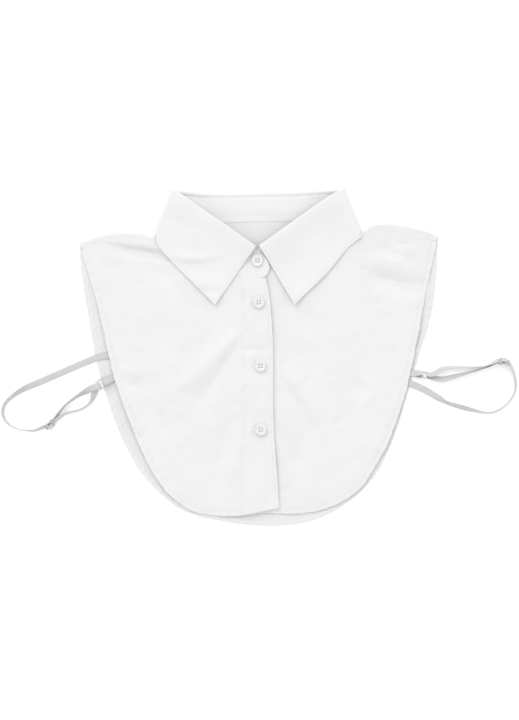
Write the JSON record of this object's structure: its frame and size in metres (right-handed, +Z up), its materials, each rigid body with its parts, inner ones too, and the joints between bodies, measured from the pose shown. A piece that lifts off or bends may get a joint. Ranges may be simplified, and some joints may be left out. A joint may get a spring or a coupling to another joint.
{
  "type": "detachable shirt collar",
  "caption": "Detachable false shirt collar laid flat: pointed collar on a stand, short bib front and back, buttoned placket and elastic side straps with sliders.",
  "frame": {"origin": "on the table under the middle of the bib, on the underside of the back panel", "axes": "+Z up off the table, +Y from the lower hem to the collar, +X towards the wearer's left"},
  "size_m": [0.4907, 0.3214, 0.0114],
  "materials": {
    "white_cotton": "matte",
    "stiffened_cotton": "matte",
    "white_elastic": "matte",
    "button_white": "pearly",
    "strap_fittings": "glossy"
  },
  "bodies": {
    "root": {"back_panel": "white_cotton", "front_left": "white_cotton", "front_right": "white_cotton", "placket": "white_cotton", "collar_stand": "stiffened_cotton", "collar_leaf": "stiffened_cotton", "button_collar": "button_white", "button_1": "button_white", "button_2": "button_white", "button_3": "button_white", "strap_left": "white_elastic", "strap_right": "white_elastic", "ring_left": "strap_fittings", "ring_right": "strap_fittings", "slider_left": "strap_fittings", "slider_right": "strap_fittings", "tab_left": "white_elastic", "tab_right": "white_elastic"}
  },
  "joints": []
}
